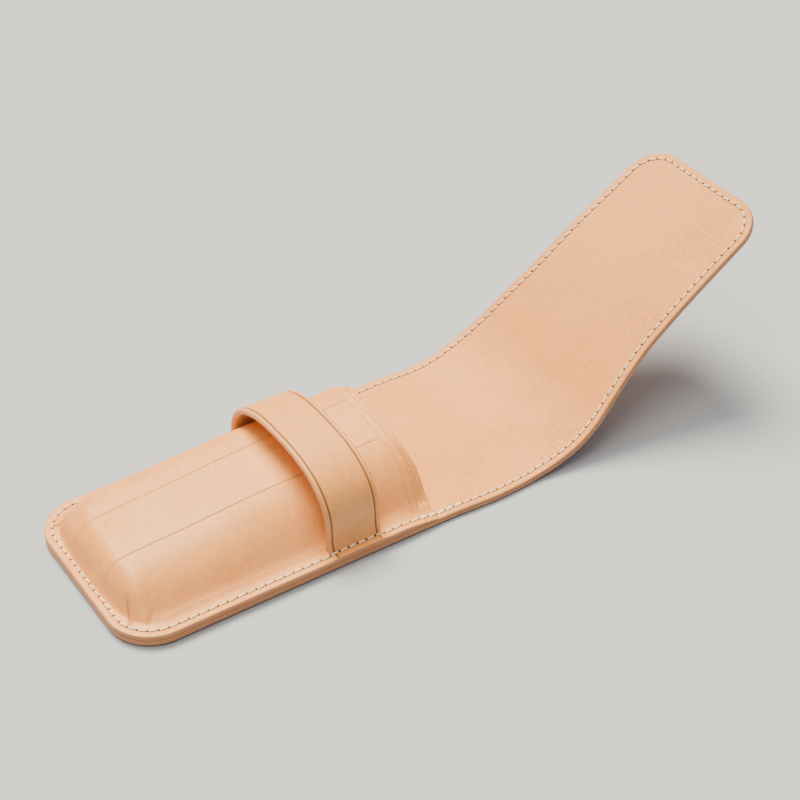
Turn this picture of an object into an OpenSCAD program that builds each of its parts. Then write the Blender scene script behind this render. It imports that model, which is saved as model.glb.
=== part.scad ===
// Fountain pen case of moulded leather with three pockets, a long fold-over flap and a retaining strap.
// Millimetres. The case lies on its back: +X to its right, +Y from the bottom end to the flap, +Z up.
// The origin is on the back face, midway across the case and bottom_y forward of its bottom edge.

/* [Case] */
// Width across the sewn rim
case_w = 78.4; // [77:0.1:84]
// Length of the pocket, from the bottom edge to the mouth at the side seams
pocket_len = 114.5; // [110:0.1:118]
// Radius of the two bottom corners
corner_r = 16.7; // [16:0.1:17.5]
// Distance of the stitch line from the rim
stitch_inset = 2.8; // [2.6:0.1:3.2]
// Length of one stitch, hole to hole
stitch_pitch = 3.6; // [3:0.1:4.5]
// Distance between the two dividers
pocket_pitch = 22.5; // [20:0.5:23]
// How far the dividers stand to the left of the middle
divider_shift = 1.5; // [0:0.1:2]

/* [Leather] */
// Thickness of the outer leather of the back and the flap
back_t = 1.5; // [1.2:0.1:1.8]
// Thickness of the lining of the back and the flap
lining_t = 1.1; // [0.8:0.1:1.4]
// Thickness of the moulded inner layer of the front
front_lining_t = 0.8; // [0.7:0.1:1.2]
// Thickness of the moulded front panel
front_t = 1.1; // [0.9:0.1:1.6]
// Thickness of the strap
strap_t = 2.2; // [1.6:0.1:2.4]
// Thickness of the strap's skived ends, where they are sewn down
strap_end_t = 1.0; // [0.8:0.1:1.4]
// Thickness of the dividers between the pockets
divider_t = 1.0; // [0.8:0.1:1.4]
// Diameter of the sewing thread
thread_d = 0.6; // [0.4:0.05:0.7]

/* [Moulded front] */
// Height of the bulge above the rim near the bottom end
bulge_low = 11.8; // [10:0.1:13]
// Height of the bulge above the rim at the mouth
bulge_high = 18.4; // [17:0.1:19]
// Distance from the middle to the foot of the bulge
bulge_half = 32.6; // [32:0.1:33]
// Distance from the bottom edge to the foot of the bulge
bulge_start = 3.6; // [3.4:0.1:5]
// How far the mouth stands forward in the middle of the case
mouth_bow = 2.5; // [0:0.1:4]
// How far the inner layer shows past the mouth in the middle
lap_middle = 2.6; // [1:0.1:3]
// How far the inner layer shows past the mouth at the side seams
lap_side = 4.4; // [3:0.1:6]

/* [Strap] */
// Distance from the bottom edge to the strap
strap_start = 76.7; // [74:0.1:80]
// Width of the strap
strap_w = 21; // [16:0.5:22]
// Height of the strap's top above the table
strap_top = 33.9; // [33.4:0.1:34.1]
// Height at which the strap's upright sides start to curve
strap_shoulder = 11.4; // [10:0.1:14]
// How far the strap's left side leans in
strap_lean = 2.6; // [0:0.1:2.8]

/* [Flap] */
// Distance from the bottom edge at which the flap leaves the pocket
flap_start = 122.2; // [119:0.1:124]
// Length of leather that lies flat on the table past that line
flap_flat = 32; // [28:0.5:34]
// Length of the curve that lifts the flap
flap_rise_len = 44; // [40:1:50]
// Angle through which that curve turns up
flap_rise = 42.7; // [40:0.1:45]
// Length of the counter-curve above it
flap_relax_len = 56; // [50:1:60]
// Angle through which the counter-curve turns back down
flap_relax = 10.1; // [8:0.1:12]
// Length of the straight end of the flap
flap_end_len = 34.4; // [32:0.2:38]
// Width of the flap at its tip
tip_w = 64.4; // [62:0.2:70]
// Distance along the flap at which it starts to narrow
taper_start = 55; // [50:1:60]
// Length over which it does most of its narrowing
taper_len = 55; // [50:1:60]
// Radius of the corners of the flap's tip
tip_r = 13.6; // [12:0.2:18]
// Distance along the flap to the first fold line
fold_first = 42; // [41:1:43]
// Distance between two fold lines
fold_step = 9; // [9:0.1:9.5]
// Gap between the leather on the two sides of a fold line
fold_gap = 0.4; // [0.3:0.05:0.5]

/* [Hidden] */

$fn = 48;
half_w = case_w / 2;
bottom_y = -60;
mouth_y = bottom_y + pocket_len;
flap_y = bottom_y + flap_start;
seam_x = half_w - stitch_inset;
back_top = back_t + lining_t;
front_lining_top = back_top + front_lining_t;
rim_top = front_lining_top + front_t;
layer_gap = 0.1;
groove_w = 1.2;
groove_depth = 0.7;
stitch_len = 0.75 * stitch_pitch;

// ---- The moulded front, as a height over the rim -------------------------------------------

// The left wall is nearly upright past the rounded corner and eases off towards the mouth. The
// right one is rounder all along, where the leather has slumped.
left_power_low = 9.4;
left_power_drop = 3.2;
corner_power_drop = 6.4;
corner_start = 8;
corner_len = 14;
right_power = 3;
// The foot of the bulge is sharper on the left than in the middle and on the right.
left_foot_power = 1;
foot_power = 1.25;
foot_blend = 20;
bottom_ramp = 14;
// Towards the mouth the bulge is this share higher at its left foot and lower at its right one.
mouth_lean = 0.1;

function blend(t) = let (u = min(1, max(0, t))) u * u * (3 - 2 * u);
function up_the_pocket(y) = max(0, (y - bottom_y - 15) / (pocket_len - 15));
function bulge_rise(x, y) =
    let (lean = mouth_lean * up_the_pocket(y) * x / bulge_half)
    (bulge_low + (bulge_high - bulge_low) * up_the_pocket(y)) * (1 - lean);
function left_power(y) =
    let (in_corner = 1 - blend((y - bottom_y - corner_start) / corner_len))
    left_power_low - left_power_drop * up_the_pocket(y) - corner_power_drop * in_corner;
function side_power(x, y) = x < 0 ? left_power(y) : right_power;
function foot_power_at(x) =
    foot_power + (left_foot_power - foot_power) * blend(-x / foot_blend);
function bulge_share(x, y, shrink) =
    let (across = pow(abs(x) / (bulge_half - shrink), side_power(x, y)))
    let (ramp_end = bottom_y + bulge_start + bottom_ramp)
    let (along = pow(max(0, ramp_end - y) / (bottom_ramp - shrink), 4))
    pow(max(0, 1 - across - along), foot_power_at(x));

// Height of a moulded surface: rim_z on the rim, and drop lower than the panel's own surface on top.
function moulded_z(x, y, rim_z, shrink, drop) =
    rim_z + max(0, bulge_rise(x, y) - drop) * bulge_share(x, y, shrink);
function front_top_z(x, y) = moulded_z(x, y, rim_top, 0, 0);
function front_under_z(x, y) = moulded_z(x, y, front_lining_top, 0.9 * front_t, 0);
function inner_top_z(x, y) = moulded_z(x, y, front_lining_top, front_t, layer_gap);
function inner_under_z(x, y) =
    moulded_z(x, y, back_top, front_t + 0.9 * front_lining_t, layer_gap);

// Edge of the front panel and of the inner layer at the mouth.
function mouth_line(x) = mouth_y + mouth_bow * blend((half_w - abs(x)) / 22);
function inner_line(x) =
    mouth_line(x) + lap_middle + (lap_side - lap_middle) * blend((abs(x) - 12) / 14);

// Grid over the panel: rows close up round the bottom corners, columns close up at the foot.
corner_rows = 7;
length_rows = 9;
bulge_columns = 9;
rim_columns = 2;
half_columns = bulge_columns + rim_columns;
grid_rows = corner_rows + length_rows;
grid_columns = 2 * half_columns;

// Column 0 is the middle, one column runs along the foot of the bulge and the last is the rim.
foot_share = bulge_half / half_w;
function column_share(i) =
    let (k = abs(i - half_columns))
    sign(i - half_columns) * (
        k <= bulge_columns
            ? foot_share * sin(90 * k / bulge_columns)
            : foot_share + (1 - foot_share) * (k - bulge_columns) / rim_columns
    );
function row_angle(j) = 90 * min(1, j / corner_rows);
function row_half_w(j) = half_w - corner_r + corner_r * sin(row_angle(j));
function corner_y(j) = bottom_y + corner_r * (1 - cos(row_angle(j)));
function row_y(j, end_y) =
    corner_y(j) + (end_y - bottom_y - corner_r) * max(0, j - corner_rows) / length_rows;

// z_pair gives [lower, upper] height at a point, end_line the y of the panel's far edge.
module moulded_shell(z_pair, end_line) {
    n = grid_columns + 1;
    plan = [
        for (j = [0:grid_rows], i = [0:grid_columns])
            let (x = row_half_w(j) * column_share(i))
            [x, row_y(j, end_line(x))]
    ];
    lower = [for (p = plan) [p.x, p.y, z_pair(p.x, p.y)[0]]];
    upper = [for (p = plan) [p.x, p.y, z_pair(p.x, p.y)[1]]];
    m = len(plan);
    cells = [for (j = [0:grid_rows - 1], i = [0:grid_columns - 1]) j * n + i];
    row_edge = [for (i = [0:grid_columns - 1]) i];
    column_edge = [for (j = [0:grid_rows - 1]) j * n];
    last_row = grid_rows * n;
    faces = concat(
        [for (c = cells) [c, c + 1, c + n + 1]],
        [for (c = cells) [c, c + n + 1, c + n]],
        [for (c = cells) [m + c, m + c + n + 1, m + c + 1]],
        [for (c = cells) [m + c, m + c + n, m + c + n + 1]],
        [for (i = row_edge) [i, m + i, m + i + 1, i + 1]],
        [for (i = row_edge) [last_row + i, last_row + i + 1, m + last_row + i + 1, m + last_row + i]],
        [for (c = column_edge) [c, c + n, m + c + n, m + c]],
        [for (c = column_edge)
            [c + n - 1, m + c + n - 1, m + c + 2 * n - 1, c + 2 * n - 1]]
    );
    polyhedron(concat(lower, upper), faces, convexity = 6);
}

// ---- The back and the flap, as a path seen from the side -----------------------------------

// A pose is [y, z, angle]. walk() moves it along an arc that turns by curve degrees per millimetre.
function walk(pose, l, curve) =
    abs(curve) < 0.000001
        ? [pose[0] + l * cos(pose[2]), pose[1] + l * sin(pose[2]), pose[2]]
        : let (a = pose[2] + curve * l, r = 180 / (PI * curve))
          [pose[0] + r * (sin(a) - sin(pose[2])), pose[1] + r * (cos(pose[2]) - cos(a)), a];

rise_s = flap_flat;
relax_s = rise_s + flap_rise_len;
end_s = relax_s + flap_relax_len;
tip_s = end_s + flap_end_len;
pose_flat = [flap_y, 0, 0];
pose_rise = walk(pose_flat, flap_flat, 0);
pose_relax = walk(pose_rise, flap_rise_len, flap_rise / flap_rise_len);
pose_end = walk(pose_relax, flap_relax_len, -flap_relax / flap_relax_len);

function pose_at(s) =
    s < rise_s ? walk(pose_flat, s, 0)
    : s < relax_s ? walk(pose_rise, s - rise_s, flap_rise / flap_rise_len)
    : s < end_s ? walk(pose_relax, s - relax_s, -flap_relax / flap_relax_len)
    : walk(pose_end, s - end_s, 0);

// The flap swells a little past the pocket, narrows in a slow curve to the width that goes under
// the strap, and then runs in slightly as far as the corners of the tip.
swell = 0.9;
swell_len = 44;
curve_share = 0.8;
run_start = taper_start + taper_len;
run_len = tip_s - tip_r - run_start;
function half_w_at(s) =
    let (out = swell * pow(sin(180 * min(1, max(0, s / swell_len))), 2))
    let (run = min(1, max(0, s - run_start) / run_len))
    let (share = curve_share * blend((s - taper_start) / taper_len) + (1 - curve_share) * run)
    half_w + out - (half_w - tip_w / 2) * share;
// Angle at which a side runs in.
function side_angle(s) = atan(half_w_at(s - 0.5) - half_w_at(s + 0.5));

// Point at height h over the outer face, s along the flap (s is negative on the pocket).
function side_point(s, h) =
    let (p = pose_at(s)) [p[0] - h * sin(p[2]), p[1] + h * cos(p[2])];

path_step = 2.5;
function stations(s0, s1) =
    let (first = max(s0, rise_s), n = max(1, ceil((s1 - first) / path_step)))
    concat(
        s0 < 0 ? [s0] : [],
        [for (s = [max(0, s0) : path_step : rise_s - 0.1]) s],
        [for (i = [0:n]) first + (s1 - first) * i / n]
    );

// A band w wide that follows the path from s0 to s1, between two heights.
module band(s0, s1, h0, h1, w) {
    ss = stations(s0, s1);
    n = len(ss) - 1;
    rotate([90, 0, 90])
        linear_extrude(w, center = true)
            polygon(concat(
                [for (i = [0:n]) side_point(ss[i], h0)],
                [for (i = [0:n]) side_point(ss[n - i], h1)]
            ));
}

// The same, cut to the flap's tapering width less an inset on each side.
module strip(s0, s1, h0, h1, inset) {
    margin = 5;
    ss = stations(s0 - margin, s1 + margin);
    n = len(ss) - 1;
    intersection() {
        band(s0, s1, h0, h1, case_w);
        translate([0, 0, -margin])
            linear_extrude(100)
                polygon(concat(
                    [for (i = [0:n]) [half_w_at(ss[i]) - inset, pose_at(ss[i])[0]]],
                    [for (i = [0:n]) [inset - half_w_at(ss[n - i]), pose_at(ss[n - i])[0]]]
                ));
    }
}

// Flat outline of the pocket's back, inset all round, open towards the flap at y = top.
module back_outline(inset, top) {
    for (side = [-1, 1])
        translate([side * (half_w - corner_r), bottom_y + corner_r]) circle(r = corner_r - inset);
    translate([corner_r - half_w, bottom_y + inset])
        square([case_w - 2 * corner_r, top - bottom_y - inset]);
    translate([inset - half_w, bottom_y + corner_r])
        square([case_w - 2 * inset, top - bottom_y - corner_r]);
}

// Outline of the flap's rounded end, inset all round. Its y runs along the flap from end_s.
corner_steps = 14;
tip_centre_y = flap_end_len - tip_r;
tip_centre_x = tip_w / 2 - tip_r;

module tip_outline(inset, back) {
    sides = max(1, ceil((back + tip_centre_y) / 4));
    side = [
        for (i = [0 : sides - 1])
            let (y = -back + (back + tip_centre_y) * i / sides)
            [half_w_at(end_s + y) - inset, y]
    ];
    arc = [
        for (i = [0:corner_steps])
            let (a = 90 * i / corner_steps)
            [tip_centre_x + (tip_r - inset) * cos(a), tip_centre_y + (tip_r - inset) * sin(a)]
    ];
    right = concat(side, arc);
    left = [for (i = [len(right) - 1 : -1 : 0]) [-right[i].x, right[i].y]];
    polygon(concat(right, left));
}

module on_tip_plane() {
    translate([0, pose_end[0], pose_end[1]]) rotate([pose_end[2], 0, 0]) children();
}

// Grooves that let the thread lie below the surface of the outer face.
module side_grooves(s0, s1) {
    difference() {
        strip(s0, s1, -0.5, groove_depth, stitch_inset - groove_w / 2);
        strip(s0 - 1, s1 + 1, -1, groove_depth + 1, stitch_inset + groove_w / 2);
    }
}

module pocket_groove() {
    translate([0, 0, -1])
        linear_extrude(1 + groove_depth)
            difference() {
                back_outline(stitch_inset - groove_w / 2, flap_y);
                back_outline(stitch_inset + groove_w / 2, flap_y + 1);
            }
}

module tip_groove() {
    on_tip_plane()
        translate([0, 0, -1])
            linear_extrude(1 + groove_depth)
                difference() {
                    tip_outline(stitch_inset - groove_w / 2, 0);
                    tip_outline(stitch_inset + groove_w / 2, 1);
                }
}

// One layer of the pocket's back, carried on as far as the first fold line.
module back_layer(h0, h1) {
    intersection() {
        strip(-flap_start, fold_first - fold_gap / 2, h0, h1, 0);
        translate([0, 0, -1]) linear_extrude(60) back_outline(0, flap_y + fold_first);
    }
}

// ---- Folds of the flap ---------------------------------------------------------------------

fold_count = 6;
function fold_s(k) = fold_first + (k - 1) * fold_step;
function part_start(k) = fold_s(k) + fold_gap / 2;
function part_end(k) = k < fold_count ? fold_s(k + 1) - fold_gap / 2 : tip_s;

module flap_layer(k, h0, h1) {
    if (k < fold_count)
        strip(part_start(k), part_end(k), h0, h1, 0);
    else
        intersection() {
            band(part_start(k), part_end(k), h0, h1, case_w);
            on_tip_plane() translate([0, 0, -30]) linear_extrude(60) tip_outline(0, 60);
        }
}

module flap_outer(k) {
    color("tan")
        difference() {
            flap_layer(k, 0, back_t);
            side_grooves(part_start(k) - 1, k < fold_count ? part_end(k) + 1 : end_s);
            if (k == fold_count) tip_groove();
        }
}

module flap_lining(k) {
    color("navajowhite") flap_layer(k, back_t, back_top);
}

// ---- Sewing thread -------------------------------------------------------------------------

module stitch() {
    rotate([-90, 0, 0]) cylinder(h = stitch_len, d = thread_d, center = true, $fn = 16);
}

// Height on which the front row of stitches rests, at a distance y along the side seam.
function seat_z(y) =
    let (first = y - stitch_pitch / 2, last = y + stitch_pitch / 2)
    let (on_strap = last > bottom_y + strap_start && first < bottom_y + strap_start + strap_w)
    on_strap ? rim_top + strap_end_t
    : first < mouth_line(seam_x) ? rim_top
    : first < inner_line(seam_x) ? front_lining_top
    : back_top;

// Stitches round one half of the pocket, front and back rows, from the middle of the bottom edge.
bottom_run = half_w - corner_r;
corner_run = PI / 2 * (corner_r - stitch_inset);
seam_run = bottom_run + corner_run;
side_run = flap_start + fold_first - corner_r;

seat_gap = 0.03;
module both_rows(front_z) {
    translate([0, 0, front_z + seat_gap + thread_d / 2]) stitch();
    translate([0, 0, groove_depth - seat_gap - thread_d / 2]) stitch();
}

module pocket_stitches() {
    color("oldlace") {
        for (d = [stitch_pitch / 2 : stitch_pitch : bottom_run])
            translate([d, bottom_y + stitch_inset, 0]) rotate(-90) both_rows(rim_top);
        for (d = [bottom_run + stitch_pitch / 2 : stitch_pitch : seam_run - stitch_pitch / 3])
            translate([bottom_run, bottom_y + corner_r, 0])
                rotate(90 * (d - bottom_run) / corner_run - 90)
                    translate([corner_r - stitch_inset, 0, 0]) both_rows(rim_top);
        for (d = [stitch_pitch / 2 : stitch_pitch : side_run - stitch_pitch / 2])
            let (y = bottom_y + corner_r + d)
            if (y < flap_y)
                translate([seam_x, y, 0]) both_rows(seat_z(y));
            else
                on_side(y - flap_y, 1) both_rows(back_top);
    }
}

// On the stitch line of the right (side 1) or left (side -1) edge of the flap, in line with it.
module on_side(s, side) {
    p = pose_at(s);
    translate([0, p[0], p[1]])
        rotate([p[2], 0, 0])
            translate([side * (half_w_at(s) - stitch_inset), 0, 0])
                rotate(side * side_angle(s))
                    children();
}

// Stitches along both sides of one part of the flap, and round the tip on the last one.
tip_side_end = end_s + tip_centre_y;
tip_corner_run = PI / 2 * (tip_r - stitch_inset);
tip_corner_count = round(tip_corner_run / stitch_pitch);
tip_count = floor(2 * tip_centre_x / stitch_pitch);

module flap_stitching(k) {
    side_end = k < fold_count ? part_end(k) : tip_side_end;
    first = part_start(k) + stitch_pitch * 0.6;
    color("oldlace") {
        for (side = [-1, 1], s = [first : stitch_pitch : side_end - stitch_pitch * 0.4])
            on_side(s, side) both_rows(back_top);
        if (k == fold_count)
            on_tip_plane() tip_stitches();
    }
}

module tip_stitches() {
    for (side = [0, 1], i = [0 : tip_corner_count - 1])
        mirror([side, 0, 0])
            translate([tip_centre_x, tip_centre_y, 0])
                rotate(90 * (i + 0.5) / tip_corner_count)
                    translate([tip_r - stitch_inset, 0, 0]) both_rows(back_top);
    for (i = [0 : tip_count - 1])
        translate([(i - (tip_count - 1) / 2) * stitch_pitch, flap_end_len - stitch_inset, 0])
            rotate(90) both_rows(back_top);
}

// ---- Strap ---------------------------------------------------------------------------------

// The arch is a squared ellipse on two upright sides. Angle 0 is its right side, 180 its left.
strap_power = 2.6;
arch_steps = 36;
strap_half = bulge_half + 0.1 + strap_t;
function squared(v) = sign(v) * pow(abs(v), 2 / strap_power);
function lean_in(p) =
    let (share = max(0, -p.x) / strap_half * blend((p.y - rim_top) / 10))
    [p.x + strap_lean * share, p.y];
function arch_point(a, inset) = lean_in([
    (strap_half - inset) * squared(cos(a)),
    strap_shoulder + (strap_top - strap_shoulder - inset) * squared(sin(a))
]);

module strap_half_end(side) {
    x0 = side > 0 ? strap_half - strap_t : -half_w;
    translate([x0, rim_top]) square([half_w - strap_half + strap_t, strap_end_t]);
}

module strap() {
    arch = [for (i = [0:arch_steps]) arch_point(180 * i / arch_steps, 0)];
    under = [for (i = [0:arch_steps]) arch_point(180 - 180 * i / arch_steps, strap_t)];
    inner_x = strap_half - strap_t;
    color("burlywood")
        translate([0, bottom_y + strap_start + strap_w, 0])
            rotate([90, 0, 0])
                linear_extrude(strap_w) {
                    polygon(concat(
                        [[inner_x, rim_top], [strap_half, rim_top]],
                        arch,
                        [lean_in([-strap_half, 8.5]), [-strap_half, rim_top], [-inner_x, rim_top]],
                        [lean_in([-inner_x, 8.5])],
                        under
                    ));
                    for (side = [-1, 1]) strap_half_end(side);
                }
}

// ---- Pocket --------------------------------------------------------------------------------

module back_panel() {
    color("tan")
        difference() {
            back_layer(0, back_t);
            pocket_groove();
            side_grooves(0, fold_first + 1);
        }
}

module back_lining() {
    color("navajowhite") back_layer(back_t, back_top);
}

module front_panel() {
    color("sandybrown")
        moulded_shell(
            function (x, y) [front_under_z(x, y), front_top_z(x, y)],
            function (x) mouth_line(x)
        );
}

module front_lining() {
    color("peachpuff")
        moulded_shell(
            function (x, y) [inner_under_z(x, y), inner_top_z(x, y)],
            function (x) inner_line(x)
        );
}

// Upright wall between two pockets, with its top edge just under the inner layer.
divider_start = bottom_y + 9;
divider_end = mouth_y - 3;
divider_steps = 20;

module divider(side) {
    x = side * pocket_pitch / 2 - divider_shift;
    outer_x = x + side * divider_t / 2;
    ys = [for (i = [0:divider_steps])
        divider_start + (divider_end - divider_start) * pow(i / divider_steps, 1.6)];
    clearance = 0.6;
    color("wheat")
        translate([x, 0, 0])
            rotate([90, 0, 90])
                linear_extrude(divider_t, center = true)
                    polygon(concat(
                        [[divider_end, back_top], [divider_start, back_top]],
                        [for (y = ys) [y, inner_under_z(outer_x, y) - clearance]]
                    ));
}

module divider_left() { divider(-1); }
module divider_right() { divider(1); }
module stitching_left() { mirror([1, 0, 0]) pocket_stitches(); }
module stitching_right() { pocket_stitches(); }

back_panel();
back_lining();
front_panel();
front_lining();
divider_left();
divider_right();
strap();
stitching_left();
stitching_right();
flap_outer(1);  // flap_1_outer
flap_lining(1);  // flap_1_lining
flap_stitching(1);  // flap_1_stitching
flap_outer(2);  // flap_2_outer
flap_lining(2);  // flap_2_lining
flap_stitching(2);  // flap_2_stitching
flap_outer(3);  // flap_3_outer
flap_lining(3);  // flap_3_lining
flap_stitching(3);  // flap_3_stitching
flap_outer(4);  // flap_4_outer
flap_lining(4);  // flap_4_lining
flap_stitching(4);  // flap_4_stitching
flap_outer(5);  // flap_5_outer
flap_lining(5);  // flap_5_lining
flap_stitching(5);  // flap_5_stitching
flap_outer(6);  // flap_6_outer
flap_lining(6);  // flap_6_lining
flap_stitching(6);  // flap_6_stitching
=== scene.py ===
import math
import bpy
import numpy as np
from mathutils import Matrix, Vector, kdtree
from mathutils.geometry import delaunay_2d_cdt


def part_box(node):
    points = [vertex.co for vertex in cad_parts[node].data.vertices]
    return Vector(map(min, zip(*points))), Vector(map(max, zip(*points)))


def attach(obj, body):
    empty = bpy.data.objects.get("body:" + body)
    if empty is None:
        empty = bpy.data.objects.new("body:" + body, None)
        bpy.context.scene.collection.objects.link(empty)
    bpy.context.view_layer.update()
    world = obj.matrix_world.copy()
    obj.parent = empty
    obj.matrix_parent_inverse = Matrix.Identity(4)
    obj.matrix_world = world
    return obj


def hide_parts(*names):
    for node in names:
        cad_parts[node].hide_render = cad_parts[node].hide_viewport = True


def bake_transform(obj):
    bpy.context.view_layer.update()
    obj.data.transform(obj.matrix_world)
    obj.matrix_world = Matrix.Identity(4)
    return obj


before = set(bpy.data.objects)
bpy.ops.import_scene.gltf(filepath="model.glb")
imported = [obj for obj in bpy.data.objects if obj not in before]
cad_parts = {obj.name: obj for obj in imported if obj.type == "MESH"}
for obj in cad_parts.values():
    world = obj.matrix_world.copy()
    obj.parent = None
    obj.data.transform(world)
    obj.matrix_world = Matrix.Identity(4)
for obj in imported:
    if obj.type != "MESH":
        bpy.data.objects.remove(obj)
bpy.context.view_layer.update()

# Lengths below are in millimetres; a mesh is scaled to metres when it is made.
# Leather is described flat: x across the case, u along it from its bottom edge, h over its outer face.
MM = 0.001

# ---- Camera --------------------------------------------------------------------------------

EYE = Vector((0.4447, -0.2191, 0.4378))
LOOK = Vector((-0.6624, 0.4286, -0.6144)).normalized()
UP = Vector((-0.5113, 0.3406, 0.7889))
LENS_MM = 85
SENSOR_MM = 36
CLIP_START = 0.01


def make_camera():
    camera = bpy.data.objects.new("camera", bpy.data.cameras.new("camera"))
    bpy.context.scene.collection.objects.link(camera)
    camera.data.lens = LENS_MM
    camera.data.sensor_width = SENSOR_MM
    camera.data.clip_start = CLIP_START
    right = LOOK.cross(UP).normalized()
    up = right.cross(LOOK)
    turn = Matrix((right, up, -LOOK)).transposed().to_4x4()
    camera.matrix_world = Matrix.Translation(EYE) @ turn
    bpy.context.scene.camera = camera


make_camera()

# ---- Sizes of the case, as in part.scad ----------------------------------------------------


def top_of(node):
    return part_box(node)[1] / MM


def foot_of(node):
    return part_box(node)[0] / MM


HALF_W = top_of("front_panel").x
BOTTOM_Y = foot_of("front_panel").y
LINING_TOP = foot_of("front_lining").z
INNER_TOP = foot_of("front_panel").z
RIM_TOP = foot_of("strap").z
STRAP_U0 = foot_of("strap").y - BOTTOM_Y
STRAP_U1 = top_of("strap").y - BOTTOM_Y
# The seam runs SEAM in from the edge, and the front ends POCKET along, with MOUTH_BOW more in the middle.
BACK_T = 1.5
STRAP_T = 2.2
CORNER_R = 16.7
SEAM = 2.8
POCKET = 114.5
MOUTH_BOW = 2.5

BULGE_LOW = 11.8
BULGE_HIGH = 18.4
BULGE_HALF = 32.6
RAMP_END = 17.6
RAMP = 14
MOUTH_LEAN = 0.1
FRONT_T = RIM_TOP - INNER_TOP
INNER_T = INNER_TOP - LINING_TOP
LAYER_GAP = 0.1
FRONT_SKIVE = 0.75
INNER_SKIVE = 0.45

# The side view of the open case: lengths along the leather, each with its turn.
BENDS = ((154.2, 0), (44, math.radians(42.7)), (56, -math.radians(10.1)), (60, 0))
# The leather is up to SPREAD wider on each side over the bend, and narrows from TAPER_U on.
FLAP_U = 122.2
SPREAD = 0.9
SPREAD_LEN = 44
TAPER_U = 177.2
TAPER_LEN = 55
TAPER_SHARE = 0.8
TIP_U = 288.6
TIP_HALF_W = 32.2
TIP_R = 13.6
TIP_CU = TIP_U - TIP_R
TIP_CX = TIP_HALF_W - TIP_R
# The first of the flap's fold lines, and the step between them.
FOLD_U = 164.2
FOLD_STEP = 9
FOLDS = 6


def smooth(t):
    t = np.clip(t, 0, 1)
    return t * t * (3 - 2 * t)


def half_width(u):
    out = SPREAD * np.sin(math.pi * np.clip((u - FLAP_U) / SPREAD_LEN, 0, 1)) ** 2
    run_u = TAPER_U + TAPER_LEN
    run = np.clip((u - run_u) / (TIP_CU - run_u), 0, 1)
    share = TAPER_SHARE * smooth((u - TAPER_U) / TAPER_LEN) + (1 - TAPER_SHARE) * run
    return HALF_W + out - (HALF_W - TIP_HALF_W) * share


def walk(start, along, curve):
    """Y, Z and slope at a distance along an arc, or a straight line if curve is 0, from start."""
    y, z, slope = start
    ahead = slope + curve * along
    if curve:
        y = y + (np.sin(ahead) - math.sin(slope)) / curve
        z = z + (math.cos(slope) - np.cos(ahead)) / curve
    else:
        y = y + along * math.cos(slope)
        z = z + along * math.sin(slope)
    return y, z, ahead


def path(u):
    """Y, Z and slope of the leather's outer face at u."""
    u = np.asarray(u, float)
    result = (BOTTOM_Y + u, 0 * u, 0 * u)
    start = (BOTTOM_Y, 0.0, 0.0)
    u0 = 0.0
    for length, turn in BENDS:
        curve = turn / length
        here = walk(start, np.clip(u - u0, 0, length), curve)
        result = [np.where(u >= u0, new, old) for new, old in zip(here, result)]
        start = walk(start, length, curve)
        u0 += length
    return result


def on_back(x, u, h):
    """Points of the back and the flap, at height h over the outer face."""
    y, z, a = path(u)
    return np.stack((x + 0 * u, y - h * np.sin(a), z + h * np.cos(a)), -1)


def on_rim(x, u, z):
    """Points of the pocket's front, at height z over the table."""
    return np.stack((x + 0 * u, BOTTOM_Y + u, z + 0 * u), -1)


# ---- The rim: distance from the edge, and along the seam from the middle of the bottom ------

BOTTOM_RUN = HALF_W - CORNER_R
CORNER_RUN = math.pi / 2 * (CORNER_R - SEAM)
SIDE_OFFSET = BOTTOM_RUN + CORNER_RUN - CORNER_R
TIP_RUN = math.pi / 2 * (TIP_R - SEAM)
TIP_START = TIP_CU + SIDE_OFFSET
SEAM_TOTAL = TIP_START + TIP_RUN + TIP_CX
STITCH = 3.6
PITCH = SEAM_TOTAL / round(SEAM_TOTAL / STITCH)


def rim_distance(x, u):
    ax = np.abs(x)
    d = np.minimum(half_width(u) - ax, np.minimum(u, TIP_U - u))
    bx, bu = ax - BOTTOM_RUN, CORNER_R - u
    d = np.where((bx > 0) & (bu > 0), CORNER_R - np.hypot(bx, bu), d)
    tx, tu = ax - TIP_CX, u - TIP_CU
    return np.where((tx > 0) & (tu > 0), TIP_R - np.hypot(tx, tu), d)


def rim_along(x, u):
    ax = np.abs(x)
    a = u + SIDE_OFFSET
    bx, bu = ax - BOTTOM_RUN, CORNER_R - u
    turned = BOTTOM_RUN + (CORNER_R - SEAM) * np.arctan2(np.maximum(bx, 0), np.maximum(bu, 1e-9))
    a = np.where(bu > 0, np.where(bx > 0, turned, ax), a)
    tx, tu = ax - TIP_CX, u - TIP_CU
    turned = TIP_START + (TIP_R - SEAM) * np.arctan2(np.maximum(tu, 0), np.maximum(tx, 1e-9))
    ended = TIP_START + TIP_RUN + TIP_CX - ax
    return np.where(tu > 0, np.where(tx > 0, turned, ended), a)


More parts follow.
